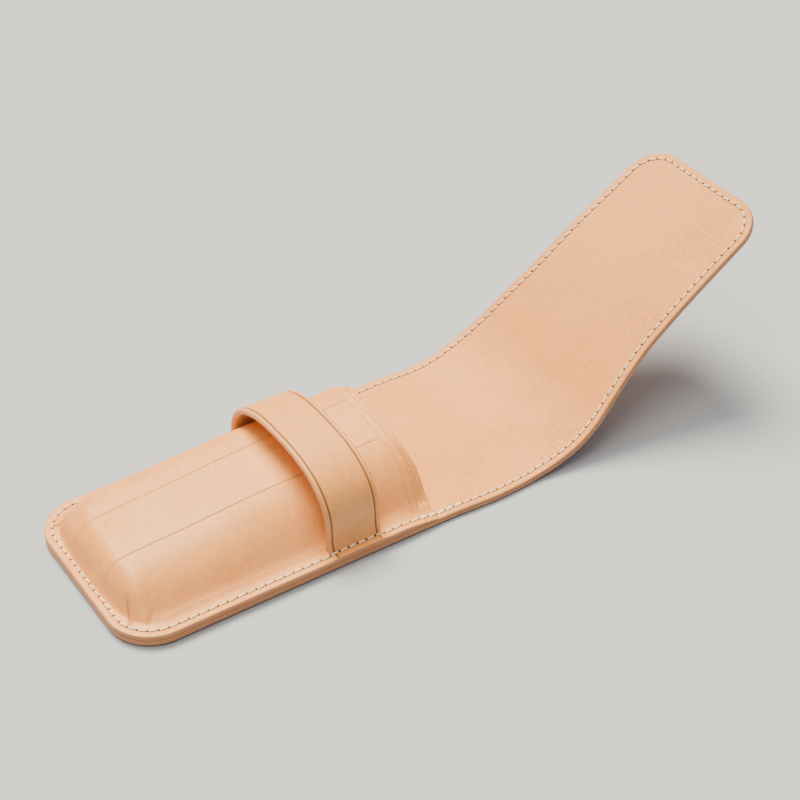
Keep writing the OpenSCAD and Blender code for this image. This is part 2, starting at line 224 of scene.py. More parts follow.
def rim_point(along, d):
    """(x, u) at a distance along the seam (negative on the left side) and d in from the edge."""
    a = np.abs(along)
    d = d + 0 * a
    x = np.minimum(a, BOTTOM_RUN)
    u = d.copy()
    t = np.clip((a - BOTTOM_RUN) / (CORNER_R - SEAM), 0, math.pi / 2)
    r = CORNER_R - d
    x = np.where(a > BOTTOM_RUN, BOTTOM_RUN + r * np.sin(t), x)
    u = np.where(a > BOTTOM_RUN, CORNER_R - r * np.cos(t), u)
    side_u = a - SIDE_OFFSET
    side = a > BOTTOM_RUN + CORNER_RUN
    x = np.where(side, half_width(side_u) - d, x)
    u = np.where(side, side_u, u)
    t = np.clip((a - TIP_START) / (TIP_R - SEAM), 0, math.pi / 2)
    r = TIP_R - d
    x = np.where(a > TIP_START, TIP_CX + r * np.cos(t), x)
    u = np.where(a > TIP_START, TIP_CU + r * np.sin(t), u)
    ended = TIP_START + TIP_RUN
    x = np.where(a > ended, TIP_CX - (a - ended), x)
    u = np.where(a > ended, TIP_U - d, u)
    return x * np.sign(along + 1e-12), u


# Rows of points that follow the rim, close together at the edge and about the seam.
ROWS = (0, 0.04, 0.13, 0.28, 0.5, 0.75, 1.05, 1.4, 1.75, 2.05, 2.3, 2.48, 2.64, 2.8, 2.96, 3.12,
        3.3, 3.55, 3.9, 4.4, 5.0)
STATION = PITCH / 10


def stations(a0, a1):
    inner = np.arange(math.ceil(a0 / STATION + 0.3), math.floor(a1 / STATION - 0.3) + 1) * STATION
    return np.concatenate(([a0], inner, [a1]))


WAVES = 9


def waves(x, u, scale, seed):
    """A smooth random field of about -1 to 1, with bumps about scale across."""
    rng = np.random.default_rng(seed)
    total = 0
    for _ in range(WAVES):
        t = rng.uniform(0, 2 * math.pi)
        k = rng.uniform(0.6, 1.5) * 2 * math.pi / scale
        phase = rng.uniform(0, 2 * math.pi)
        total = total + np.sin(k * (x * math.cos(t) + u * math.sin(t)) + phase)
    return total / 4


# ---- The moulded front ---------------------------------------------------------------------

# The bulge's cross-section is a superellipse. Its power on the left is lower towards the mouth and
# at the bottom corner.
LEFT_POWER = 9.4
LEFT_TO_MOUTH = 3.2
LEFT_AT_CORNER = 6.4
RIGHT_POWER = 3.0
RAMP_POWER = 4
# The right side has slumped into a softer slope.
SLUMP = 0.25
RISE_U = 15
HOLLOW = 1.1
HOLLOW_LEN = 4


def up_the_pocket(u):
    return np.maximum(0, (u - RISE_U) / (POCKET - RISE_U))


def bulge_rise(x, u):
    up = up_the_pocket(u)
    lean = MOUTH_LEAN * up * x / BULGE_HALF
    return (BULGE_LOW + (BULGE_HIGH - BULGE_LOW) * up) * (1 - lean)


def bulge_share(x, u, shrink):
    left = LEFT_POWER - LEFT_TO_MOUTH * up_the_pocket(u) - LEFT_AT_CORNER * (1 - smooth((u - 8) / 14))
    power = np.where(x < 0, left, RIGHT_POWER)
    across = (np.abs(x) / (BULGE_HALF - shrink)) ** power
    along = (np.maximum(0, RAMP_END - u) / (RAMP - shrink)) ** RAMP_POWER
    return np.maximum(0, 1 - across - along) ** (1 + SLUMP - SLUMP * smooth(-x / 20))


def moulded(x, u, rim_z, shrink, drop):
    """A moulded surface, with a soft hollow where the bulge runs out towards the seam."""
    bulge = np.maximum(0, bulge_rise(x, u) - drop) * bulge_share(x, u, shrink)
    hollow = HOLLOW * np.clip((rim_distance(x, u) - SEAM - 0.3) / HOLLOW_LEN, 0, 1) ** 2
    return rim_z + np.hypot(bulge, hollow)


def mouth_line(x):
    return POCKET + MOUTH_BOW * smooth((HALF_W - np.abs(x)) / 22)


def inner_line(x):
    return mouth_line(x) + 2.6 + 1.8 * smooth((np.abs(x) - 12) / 14)


# Pressed lines: the two over the dividers, and those along the ends of the front and its inner layer.
CREASES = (-12.75, 9.75)
CREASE_W = 0.19
CREASE_DEEP = 0.24
MOUTH_CREASE = 2.7
INNER_CREASE = 2.2
END_CREASE_W = 0.24


def groove(offset, width):
    return np.exp(-(offset / width) ** 2)


def crease_x(i, u):
    return CREASES[i] + 0.18 * np.sin(u / 19 + 2.1 * i) + 0.07 * np.sin(u / 6.3 + i)


def clear_of_seam(x):
    """1 over most of the width, falling to 0 short of the side seams."""
    return smooth((35.6 - np.abs(x)) / 1.5)


def front_marks(x, u):
    """Strength, from 0 to 1, of the pressed lines over the dividers and along the mouth."""
    to_mouth = mouth_line(x) - u
    mark = 0
    ends = smooth((u - 4.2) / 1.5) * smooth((to_mouth - MOUTH_CREASE + 0.3) / 0.6)
    for i in range(len(CREASES)):
        mark = np.maximum(mark, groove(x - crease_x(i, u), CREASE_W) * ends)
    faint = 0.42 + 0.2 * smooth((x - 8) / 14)
    return np.maximum(mark, faint * clear_of_seam(x) * groove(to_mouth - MOUTH_CREASE, END_CREASE_W))


def inner_marks(x, to_edge):
    """Strength of the pressed line along the inner layer's end."""
    return clear_of_seam(x) * groove(to_edge - INNER_CREASE, END_CREASE_W)


FRONT_SKIVE_LEN = 10
INNER_SKIVE_LEN = 4


def skived(x, to_edge, length):
    """How far a layer is thinned, from 0 to 1, where its end crosses the side seam."""
    return smooth((np.abs(x) - 29.5) / 6.8) * smooth((length - to_edge) / length)


# Short folds where the leather was gathered round the two bottom corners: from, to, depth, width.
PINCHES = (
    ((28.1, 5.6), (21.9, 7.9), 0.8, 0.55),
    ((-29.6, 6.0), (-26.9, 8.5), 1.0, 0.65),
    ((-23.5, 5.0), (-22.2, 8.6), 0.25, 1.0),
    ((32.0, 10.2), (29.0, 13.5), 0.2, 1.2),
)


def pinches(x, u):
    """Depth of the gathered folds, and the painted shade along them."""
    depth = 0
    dark = 0
    for (x0, u0), (x1, u1), deep, wide in PINCHES:
        length = math.hypot(x1 - x0, u1 - u0)
        tx, tu = (x1 - x0) / length, (u1 - u0) / length
        along = ((x - x0) * tx + (u - u0) * tu) / length
        across = (x - x0) * tu - (u - u0) * tx
        fade = smooth((along + 0.25) / 0.3) * smooth((1.25 - along) / 0.5)
        depth = depth + deep * groove(across, wide) * fade
        # Painted shade down the middle of each fold.
        dark = dark + min(1, deep * 1.5) * groove(across, wide * 0.6) * fade
    return depth, dark


VALLEY = 0.2
VALLEY_W = 0.62
HOLE_DEEP = 0.45
HOLE_W = 0.3


def seam_dip(x, u, valley, hole):
    """Depth of the pressed seam line and of the awl holes in it."""
    d = rim_distance(x, u) - SEAM
    a = rim_along(x, u) / PITCH
    off = (a - np.round(a)) * PITCH
    holes = np.exp(-(off ** 2 + d ** 2) / HOLE_W ** 2)
    return valley * groove(d, VALLEY_W) + hole * holes


def rounding(radius, *distances):
    """Drop of a surface near an edge of that radius; distances are those from the edges."""
    total = 0
    for d in distances:
        total = total + np.maximum(0, radius - d) ** 2
    return radius - np.sqrt(np.maximum(0, radius ** 2 - total))


# Middle and height of the swelling over the end of each pocket.
LUMPS = ((-21.5, 0.45), (-1.5, 0.4), (20.5, 0.55))
LUMP_U = 13.5
LUMP_W = 6.0
LUMP_LEN = 5.0


def lumps(x, u):
    """The leather stands a little proud where it was pressed over the end of each pocket."""
    total = 0
    for middle, high in LUMPS:
        total = total + high * groove(x - middle, LUMP_W) * groove(u - LUMP_U, LUMP_LEN)
    return total


def front_top(x, u):
    share = bulge_share(x, u, 0)
    z = moulded(x, u, RIM_TOP, 0, 0) + lumps(x, u) * smooth(share * 1.5)
    z = z + 0.12 * waves(x, u, 26, 3) * smooth(share * 2)
    z = z - CREASE_DEEP * front_marks(x, u)
    z = z - pinches(x, u)[0]
    z = z - seam_dip(x, u, VALLEY, HOLE_DEEP)
    z = z - FRONT_SKIVE * skived(x, mouth_line(x) - u, FRONT_SKIVE_LEN)
    return z - rounding(0.5, rim_distance(x, u), mouth_line(x) - u)


def front_under(x, u):
    z = moulded(x, u, INNER_TOP, 0.9 * FRONT_T, 0)
    top = front_top(x, u)
    return np.minimum(z + rounding(0.12, rim_distance(x, u), mouth_line(x) - u), top - 0.25)


def inner_top(x, u):
    z = moulded(x, u, INNER_TOP, FRONT_T, LAYER_GAP)
    to_edge = inner_line(x) - u
    z = z - 0.2 * inner_marks(x, to_edge)
    z = z - seam_dip(x, u, 0.15, 0.4) * smooth(u - POCKET)
    z = z - INNER_SKIVE * skived(x, to_edge, INNER_SKIVE_LEN)
    return z - rounding(0.3, rim_distance(x, u), to_edge)


def inner_under(x, u):
    z = moulded(x, u, LINING_TOP, FRONT_T + 0.9 * INNER_T, LAYER_GAP)
    return z + rounding(0.3, rim_distance(x, u)) + rounding(0.1, inner_line(x) - u)


# ---- Back and flap -------------------------------------------------------------------------


def outer_low(x, u):
    radius = 0.7 + 0.4 * smooth((POCKET + 10 - u) / 20)
    return rounding(radius, rim_distance(x, u)) + seam_dip(x, u, 0.45, 0.3)


def outer_high(x, u):
    return BACK_T - rounding(0.12, rim_distance(x, u))


def lining_low(x, u):
    return BACK_T + rounding(0.12, rim_distance(x, u))


def lining_high(x, u):
    d = rim_distance(x, u)
    open_air = smooth((u - 118) / 3)
    inner = smooth((d - 5) / 8) * smooth((u - 128) / 15)
    h = LINING_TOP + 0.1 * waves(x, u, 22, 8) * inner
    h = h - seam_dip(x, u, VALLEY, HOLE_DEEP) * open_air
    return h - rounding(0.5, d)


# ---- Mesh tools ----------------------------------------------------------------------------


def new_object(name, verts, faces, material, values, sharp=()):
    """A mesh object from points in mm, with values {attribute: (n, 3) array} on its points."""
    mesh = bpy.data.meshes.new(name)
    mesh.from_pydata((np.asarray(verts) * MM).tolist(), [], faces)
    mesh.materials.append(material)
    for key, data in values.items():
        layer = mesh.attributes.new(key, "FLOAT_VECTOR", "POINT")
        layer.data.foreach_set("vector", np.asarray(data, np.float32).ravel())
    mesh.update()
    mesh.shade_smooth()
    if len(sharp):
        marked = {tuple(sorted(e)) for e in sharp}
        layer = mesh.attributes.new("sharp_edge", "BOOLEAN", "EDGE")
        flags = [tuple(sorted(e.vertices)) in marked for e in mesh.edges]
        layer.data.foreach_set("value", flags)
    obj = bpy.data.objects.new(name, mesh)
    bpy.context.scene.collection.objects.link(obj)
    return obj


def far_from(points, added, gap):
    """Those of the added points that are at least gap from every one in points."""
    tree = kdtree.KDTree(len(points))
    for i, (x, u) in enumerate(points):
        tree.insert((x, u, 0), i)
    tree.balance()
    return [(x, u) for x, u in added if tree.find((x, u, 0))[2] > gap]


def triangulate(loop, extra):
    """Points and triangles of the region inside loop, through the extra points."""
    points = [Vector((float(x), float(u))) for x, u in list(loop) + list(extra)]
    verts, _, tris, *_ = delaunay_2d_cdt(points, [], [list(range(len(loop)))], 1, 1e-5)
    flat = np.array([(v.x, v.y) for v in verts])
    tris = np.array(tris)
    a, b, c = (flat[tris[:, i]] for i in range(3))
    area = (b[:, 0] - a[:, 0]) * (c[:, 1] - a[:, 1]) - (c[:, 0] - a[:, 0]) * (b[:, 1] - a[:, 1])
    real = np.abs(area) > 1e-7
    tris, area = tris[real], area[real]
    tris[area < 0] = tris[area < 0][:, ::-1]
    return flat, tris


def border(tris):
    """Directed edges that only one triangle has."""
    edges = np.concatenate((tris[:, [0, 1]], tris[:, [1, 2]], tris[:, [2, 0]]))
    there = {(int(a), int(b)) for a, b in edges}
    return [e for e in there if (e[1], e[0]) not in there]


WORN_EDGE = 0.85


def leather_values(x, u, h, marks, dark):
    """The three attributes that the leather materials read, for points at (x, u, h).

    flat is the place itself; seam is the place along the seam in stitches, the distance from it, and 1
    where it has holes; the third is the share of burnished edge, of pressed line and of painted shade.
    """
    d = rim_distance(x, u)
    flat = np.stack((x, u, h), -1)
    seam = np.stack((rim_along(x, u) / PITCH, d - SEAM, np.ones_like(x)), -1)
    wear_and_shade = np.stack((smooth((WORN_EDGE - d) / WORN_EDGE), marks + 0 * x, dark + 0 * x), -1)
    return flat, seam, wear_and_shade


def leather_piece(name, loop, extra, place, high, low, material, wear_and_shade=None, is_cut=None):
    """A closed piece of leather: its flat outline, points inside, and its two faces' heights."""
    flat, tris = triangulate(loop, extra)
    x, u = flat[:, 0], flat[:, 1]
    n = len(flat)
    top, under = high(x, u), low(x, u)
    verts = np.concatenate((place(x, u, top), place(x, u, under)))
    edges = border(tris)
    faces = tris.tolist() + (tris[:, ::-1] + n).tolist()
    faces += [(a + n, b + n, b, a) for a, b in edges]
    sharp = []
    if is_cut is not None:
        for a, b in edges:
            if is_cut(*flat[a]) and is_cut(*flat[b]):
                sharp += [(a, b), (a + n, b + n), (a, a + n), (b, b + n)]
    marks, dark = wear_and_shade(x, u) if wear_and_shade else (0, 0)
    upper = leather_values(x, u, top, marks, dark)
    lower = leather_values(x, u, under, 0, 0)
    keys = ("flat", "seam", "wear_and_shade")
    values = {k: np.concatenate((p, q)) for k, p, q in zip(keys, upper, lower)}
    return new_object(name, verts, faces, material, values, sharp)


def belongs(obj, nodes, body):
    """obj stands for those CAD nodes, which it hides, and rides on the body."""
    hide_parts(*nodes)
    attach(obj, body)


# ---- Materials -----------------------------------------------------------------------------


class Graph:
    """Short calls for building a material's nodes."""

    def __init__(self, name):
        self.material = bpy.data.materials.new(name)
        self.material.use_nodes = True
        self.tree = self.material.node_tree
        self.shader = self.tree.nodes["Principled BSDF"]

    def node(self, kind, **settings):
        made = self.tree.nodes.new(kind)
        for key, value in settings.items():
            setattr(made, key, value)
        return made

    def put(self, socket, value):
        if isinstance(value, bpy.types.NodeSocket):
            self.tree.links.new(value, socket)
        else:
            socket.default_value = value

    def attribute(self, name):
        return self.node("ShaderNodeAttribute", attribute_name=name).outputs["Vector"]

    def split(self, vector):
        made = self.node("ShaderNodeSeparateXYZ")
        self.put(made.inputs[0], vector)
        return made.outputs

    def scaled(self, vector, scale):
        made = self.node("ShaderNodeVectorMath", operation="MULTIPLY")
        self.put(made.inputs[0], vector)
        self.put(made.inputs[1], scale)
        return made.outputs[0]

    def math(self, operation, *values, clamp=False):
        made = self.node("ShaderNodeMath", operation=operation, use_clamp=clamp)
        for socket, value in zip(made.inputs, values):
            self.put(socket, value)
        return made.outputs[0]

    def noise(self, vector, scale, detail=3.0, rough=0.5, distortion=0.0):
        made = self.node("ShaderNodeTexNoise")
        self.put(made.inputs["Vector"], vector)
        made.inputs["Scale"].default_value = scale
        made.inputs["Detail"].default_value = detail
        made.inputs["Roughness"].default_value = rough
        made.inputs["Distortion"].default_value = distortion
        return made.outputs["Fac"]

    def cells(self, vector, scale):
        made = self.node("ShaderNodeTexVoronoi")
        self.put(made.inputs["Vector"], vector)
        made.inputs["Scale"].default_value = scale
        return made.outputs["Distance"]

    def between(self, value, low, high, to_low=0.0, to_high=1.0):
        made = self.node("ShaderNodeMapRange", interpolation_type="SMOOTHSTEP")
        self.put(made.inputs[0], value)
        for i, v in enumerate((low, high, to_low, to_high)):
            made.inputs[i + 1].default_value = v
        return made.outputs[0]

    def mix(self, share, a, b):
        made = self.node("ShaderNodeMix", data_type="RGBA")
        self.put(made.inputs[0], share)
        self.put(made.inputs[6], a)
        self.put(made.inputs[7], b)
        return made.outputs[2]

    def bump(self, height, distance, strength, normal=None):
        made = self.node("ShaderNodeBump")
        made.inputs["Strength"].default_value = strength
        made.inputs["Distance"].default_value = distance
        self.put(made.inputs["Height"], height)
        if normal is not None:
            self.put(made.inputs["Normal"], normal)
        return made.outputs[0]


# The strap's grain side is marked h = 6 and its flesh side h = 3.
GRAIN_MARK = 6
FLESH_MARK = 3
FLESH_H = 4.2


def shade(colour, factor):
    return tuple(c * factor for c in colour[:3]) + (1,)


def grain_side(g, flat, light, dark):
    """Mottled colour of the grain side, the height of its pores, and the fine noise in both."""
    broad = g.noise(flat, 0.05, 3.0, 0.55)
    middle = g.noise(flat, 0.45, 4.0, 0.6)
    fine = g.noise(flat, 1.9, 5.0, 0.7)
    tone = g.math("MULTIPLY", broad, 0.22)
    tone = g.math("MULTIPLY_ADD", middle, 0.3, tone)
    tone = g.math("MULTIPLY_ADD", fine, 0.48, tone)
    colour = g.mix(g.between(tone, 0.38, 0.62), dark, light)
    pores = g.between(g.cells(flat, 1.9), 0.05, 0.26, 0.5, 0.0)
    pores = g.math("MULTIPLY", pores, g.between(middle, 0.35, 0.65))
    colour = g.mix(pores, colour, shade(dark, 0.72))
    return colour, g.math("MULTIPLY_ADD", pores, -0.5, fine), fine


def fibre_lines(g, flat, place):
    """Streaks across the leather, from 0 to 1, in patches and mostly towards its right side."""
    streaks = g.noise(g.scaled(flat, (0.2, 1.7, 0.2)), 1.0, 4.0, 0.6, 0.7)
    patch = g.between(g.noise(flat, 0.05, 2.0), 0.28, 0.62, 0.15, 1.0)
    side = g.between(place[0], -10, 24, 0.35, 1.0)
    return g.math("MULTIPLY", g.between(streaks, 0.38, 0.62), g.math("MULTIPLY", patch, side))


def burnished(g, flat, place, edge):
    """Colour of the cut edge, with fine layers in it and a dark line where two pieces meet."""
    layered = g.noise(g.scaled(flat, (0.12, 0.12, 3.5)), 1.0, 3.0, 0.6)
    colour = g.mix(g.between(layered, 0.35, 0.65), shade(edge, 0.84), edge)
    on_pocket = g.between(place[1], POCKET + 1, POCKET + 5, 1.0, 0.0)
    line = g.mix(on_pocket, gap_line(g, place[2], BACK_T), gap_line(g, place[2], LINING_TOP))
    return g.mix(g.math("MULTIPLY", line, 0.6), colour, shade(edge, 0.3))


def awl_holes(g, seam):
    """Share, from 0 to 1, of the painted shade inside an awl hole."""
    off = g.math("SUBTRACT", seam[0], g.math("ROUND", seam[0]))
    off = g.math("MULTIPLY", off, PITCH)
    far = g.math("SQRT", g.math("ADD", g.math("POWER", off, 2.0), g.math("POWER", seam[1], 2.0)))
    return g.math("MULTIPLY", g.between(far, 0.4, 0.62, 1.0, 0.0), seam[2])


def leather(name, light, dark, edge, fibrous=0.0, rough=0.42, flesh=None):
    """Vegetable-tanned leather: mottling, pores, a fine grain, burnished edges, and painted shade.

    With flesh given, the side at h below FLESH_H shows that paler colour instead of the grain side.
    """
    g = Graph(name)
    flat = g.attribute("flat")
    place = g.split(flat)
    wear_and_shade = g.split(g.attribute("wear_and_shade"))
    seam = g.split(g.attribute("seam"))
    colour, height, fine = grain_side(g, flat, light, dark)
    if fibrous:
        lines = fibre_lines(g, flat, place)
        colour = g.mix(g.math("MULTIPLY", lines, 0.6 * fibrous), colour, shade(dark, 0.86))
        height = g.math("MULTIPLY_ADD", lines, -1.2 * fibrous, height)
    if flesh:
        pale = g.mix(g.between(fine, 0.3, 0.7), shade(flesh, 0.8), flesh)
        colour = g.mix(g.between(place[2], FLESH_H - 0.3, FLESH_H + 0.3, 1.0, 0.0), colour, pale)
    # Painted shade in the gathered folds and round the foot of the bulge.
    colour = g.mix(g.math("MULTIPLY", wear_and_shade[2], 0.75), colour, SHADE)
    colour = g.mix(wear_and_shade[1], colour, CREASE)
    colour = g.mix(wear_and_shade[0], colour, burnished(g, flat, place, edge))
    # Painted shade inside the awl holes.
    colour = g.mix(g.math("MULTIPLY", awl_holes(g, seam), 0.94), colour, HOLE_SHADE)
    g.put(g.shader.inputs["Base Color"], colour)

    normal = g.bump(height, 0.00012, 0.7)
    normal = g.bump(g.noise(flat, 6.0, 2.0, 0.5), 0.00004, 0.4, normal)
    g.put(g.shader.inputs["Normal"], normal)
    gloss = g.between(fine, 0.3, 0.7, rough - 0.05, rough + 0.09)
    g.put(g.shader.inputs["Roughness"], g.math("MULTIPLY_ADD", wear_and_shade[0], -0.1, gloss))
    g.shader.inputs["Specular IOR Level"].default_value = 0.5
    return g.material


def gap_line(g, height, level):
    """A line, from 0 to 1, where two layers of leather meet in the edge."""
    off = g.math("ABSOLUTE", g.math("SUBTRACT", height, level))
    return g.between(off, 0.05, 0.3, 1.0, 0.0)


def thread_material():
    """Waxed thread with its strands twisted round each other, painted light and shade on the strands, and
    painted shade at each stitch's ends.
    """
    g = Graph("thread")
    strand_and_shade = g.split(g.attribute("strand_and_shade"))
    flat = g.attribute("flat")
    turn = g.math("MULTIPLY", strand_and_shade[0], 2 * math.pi)
    twist = g.math("MULTIPLY_ADD", g.math("SINE", turn), 0.5, 0.5)
    fuzz = g.noise(flat, 2.4, 3.0, 0.6)
    # Painted light on the crowns of the strands and painted shade in the grooves between them.
    colour = g.mix(twist, (0.88, 0.72, 0.53, 1), (0.99, 0.88, 0.72, 1))
    colour = g.mix(g.between(fuzz, 0.35, 0.7, 0.0, 0.2), colour, (0.80, 0.62, 0.44, 1))
    # Painted shade at the ends of each stitch, where it goes down into its hole.
    colour = g.mix(g.math("MULTIPLY", strand_and_shade[1], 0.7), colour, (0.30, 0.15, 0.07, 1))
    g.put(g.shader.inputs["Base Color"], colour)
    g.put(g.shader.inputs["Roughness"], g.between(fuzz, 0.3, 0.7, 0.5, 0.68))
    g.put(g.shader.inputs["Normal"], g.bump(twist, 0.00008, 0.6))
    g.shader.inputs["Sheen Weight"].default_value = 0.2
    return g.material


def floor_material():
    g = Graph("floor")
    place = g.node("ShaderNodeTexCoord").outputs["Object"]
    grain = g.noise(place, 9.0, 3.0)
    g.put(g.shader.inputs["Base Color"], g.mix(grain, (0.37, 0.435, 0.58, 1), (0.405, 0.475, 0.62, 1)))
    g.put(g.shader.inputs["Roughness"], g.between(grain, 0.3, 0.7, 0.75, 0.85))
    return g.material


LIGHT = (0.90, 0.41, 0.12, 1)
DARK = (0.80, 0.31, 0.076, 1)
EDGE = (0.66, 0.28, 0.12, 1)
FLESH = (0.80, 0.54, 0.33, 1)
# Colour of the painted shade in the folds and round the foot of the bulge.
SHADE = (0.42, 0.14, 0.05, 1)
CREASE = (0.11, 0.03, 0.012, 1)
# Colour of the painted shade inside the awl holes.
HOLE_SHADE = (0.05, 0.018, 0.008, 1)

OUTER = leather("outer_leather", shade(LIGHT, 0.97), shade(DARK, 0.97), EDGE)
LINING = leather("lining_leather", LIGHT, DARK, EDGE, fibrous=1.0, rough=0.56)
MOULDED = leather("moulded_leather", LIGHT, DARK, EDGE, rough=0.38)
INNER = leather("moulded_lining", shade(LIGHT, 0.94), shade(DARK, 0.92), EDGE, fibrous=0.4)
DIVIDER = leather("divider_leather", shade(LIGHT, 0.9), shade(DARK, 0.88), EDGE, fibrous=0.6)
STRAP = leather("strap_leather", LIGHT, DARK, shade(EDGE, 1.12), flesh=FLESH)
THREAD = thread_material()

# ---- Back, lining and flap -----------------------------------------------------------------

POCKET_CUT = FOLD_U - FOLD_STEP / 2
TIP_CUT = POCKET_CUT + FOLDS * FOLD_STEP


def cut_line(u):
    """Points across the leather at u, from left to right, the same for the pieces that meet there."""
    outer = [half_width(u) - d for d in ROWS]
    inner = np.linspace(-outer[-1], outer[-1], 48)[1:-1]
    xs = [-x for x in outer] + list(inner) + outer[::-1]
    return [(float(x), u) for x in xs]


def rows_along(alongs):
    points = []
    for d in ROWS[1:]:
        x, u = rim_point(alongs, d)
        points += list(zip(x.tolist(), u.tolist()))
    return points


def lattice(x1, u0, u1, step):
    """A staggered lattice of points over |x| < x1."""
    points = []
    rows = np.arange(u0, u1, step * 0.87)
    for i, u in enumerate(rows):
        xs = np.arange(-x1 + (i % 2) * step / 2, x1, step)
        points += [(float(x), float(u)) for x in xs]
    return points


def inside_only(points, margin, u0, u1):
    x, u = np.array(points).T
    keep = (rim_distance(x, u) > margin) & (u > u0) & (u < u1)
    return [p for p, k in zip(points, keep) if k]


def strip_piece(name, u0, u1, high, low, material):
    """One length of a leather layer, between two cuts or from a cut to the closed end."""
    a0, a1 = u0 + SIDE_OFFSET, u1 + SIDE_OFFSET
    cuts = [c for c in (u0, u1) if 0 < c < TIP_U]
    if u0 <= 0:
        right = stations(0, a1)[1:]
        alongs = np.concatenate((-right[::-1], [0], right))
        edge = list(zip(*rim_point(alongs, 0)))
        loop = edge + cut_line(u1)[1:-1][::-1]
    elif u1 >= TIP_U:
        right = stations(a0, SEAM_TOTAL)[:-1]
        alongs = np.concatenate((right, [SEAM_TOTAL], -right[::-1]))
        edge = list(zip(*rim_point(alongs, 0)))
        loop = edge + cut_line(u0)[1:-1]
    else:
        right = stations(a0, a1)
        alongs = np.concatenate((right, -right))
        edge = list(zip(*rim_point(right, 0)))
        left = [(-x, u) for x, u in edge[::-1]]
        loop = edge + cut_line(u1)[1:-1][::-1] + left + cut_line(u0)[1:-1]
    extra = inside_only(rows_along(alongs), 0.02, u0 + 0.05, u1 - 0.05)
    fill = inside_only(lattice(HALF_W, max(u0, 0), u1, 1.5), ROWS[-1] + 0.5, u0 + 0.4, u1 - 0.4)
    extra += far_from(loop, fill, 0.5)

    def is_cut(x, u):
        return any(abs(u - c) < 1e-3 for c in cuts)

    return leather_piece(name, loop, extra, on_back, high, low, material, is_cut=is_cut)


LAYERS = (("outer", outer_high, outer_low, OUTER), ("lining", lining_high, lining_low, LINING))


def make_back():
    for layer, high, low, material in LAYERS:
        node = "back_panel" if layer == "outer" else "back_lining"
        obj = strip_piece(f"back_{layer}", 0, POCKET_CUT, high, low, material)
        belongs(obj, [node], "case")
        obj = strip_piece(f"tip_{layer}", TIP_CUT, TIP_U, high, low, material)
        belongs(obj, [f"flap_6_{layer}"], "flap_6")
        for k in range(1, FOLDS + 1):
            u0 = POCKET_CUT + (k - 1) * FOLD_STEP
            obj = strip_piece(f"fold_{k}_{layer}", u0, u0 + FOLD_STEP, high, low, material)
            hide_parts(f"flap_{k}_{layer}")
            bend(obj)


def bend(obj):
    """Bakes obj's transform into its mesh."""
    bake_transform(obj)


make_back()

# ---- Front panel and its inner layer -------------------------------------------------------

# Distances from a layer's end of the rows of points that follow it, close together at its crease.
MOUTH_ROWS = (0.06, 0.18, 0.36, 0.6, 0.95, 1.35, 1.75, 1.98, 2.1, 2.2, 2.3, 2.42, 2.56, 2.7, 2.84, 3.0,
              3.3, 3.8, 4.6, 5.6)
CREASE_ROWS = (-0.9, -0.5, -0.27, -0.13, 0, 0.13, 0.27, 0.5, 0.9)


def before_end(points, line, gap):
    """Those points that are more than gap short of the layer's end."""
    return [p for p in points if p[1] < line(np.array(p[0])) - gap]


def front_fill(line, us):
    """Points over the bulge: rows along the pressed lines, and a grid that is finer on its sides."""
    lines = []
    for i in range(len(CREASES)):
        for off in CREASE_ROWS:
            lines += list(zip((crease_x(i, us) + off).tolist(), us.tolist()))
    lines = before_end(lines, line, 5.9)
    fine_x = np.arange(21, 34.6, 0.45)
    grid_x = np.concatenate((-fine_x[::-1], np.arange(-20, 20.1, 1.25), fine_x))
    fill = [(float(x), float(u)) for u in us for x in grid_x]
    fill = inside_only(fill, ROWS[-1] + 0.25, 0, TIP_U)
    return lines + far_from(lines, before_end(fill, line, 6.0), 0.35)


def front_piece(name, line, high, low, material, wear_and_shade):
    """A moulded panel, sewn round the rim and open at the mouth line."""
    corner_u = float(line(np.array(HALF_W)))
    right = stations(0, corner_u + SIDE_OFFSET)[1:]
    alongs = np.concatenate((-right[::-1], [0], right))
    edge = list(zip(*rim_point(alongs, 0)))
    xs = [HALF_W - d for d in ROWS[1:]]
    xs = np.array(xs + list(np.linspace(xs[-1], -xs[-1], 100)[1:-1]) + [-x for x in xs[::-1]])
    loop = edge + list(zip(xs, line(xs)))
    extra = []
    for d in MOUTH_ROWS:
        extra += list(zip(xs.tolist(), (line(xs) - d).tolist()))
    extra += far_from(extra, before_end(rows_along(alongs), line, 0.25), 0.09)
    us = np.concatenate((np.arange(5.6, 20, 0.5), np.arange(20.5, corner_u - 3, 1.3)))
    extra += front_fill(line, us)
    return leather_piece(name, loop, extra, on_rim, high, low, material, wear_and_shade=wear_and_shade)


def end_line(x, to_edge):
    """Darkness of the line where a layer's end crosses the rim."""
    return 0.55 * smooth((np.abs(x) - 34.8) / 1.2) * groove(to_edge, 0.3)


def front_lines_and_shade(x, u):
    """How dark the pressed lines are, and the painted shade in the folds and round the foot of the bulge.
    """
    share = bulge_share(x, u, 0)
    # Painted shade round the foot of the bulge, where it runs down to the rim.
    foot = 0.3 * smooth((0.78 - share) / 0.5) * smooth((rim_distance(x, u) - 4.2) / 1.5)
    marks = np.maximum(0.36 * front_marks(x, u), end_line(x, mouth_line(x) - u))
    return marks, np.clip(pinches(x, u)[1] + foot, 0, 1)


def inner_wear(x, u):
    to_edge = inner_line(x) - u
    return np.maximum(0.27 * inner_marks(x, to_edge), end_line(x, to_edge)), 0


def make_front():
    front = front_piece("front_moulded", mouth_line, front_top, front_under, MOULDED, front_lines_and_shade)
    belongs(front, ["front_panel"], "case")
    inner = front_piece("inner_moulded", inner_line, inner_top, inner_under, INNER, inner_wear)
    belongs(inner, ["front_lining"], "case")


make_front()

# ---- Dividers ------------------------------------------------------------------------------

DIVIDER_START = 9.0
DIVIDER_END = POCKET - 3
DIVIDER_HALF = 0.5
DIVIDER_STEPS = 90
DIVIDER_ROWS = 16


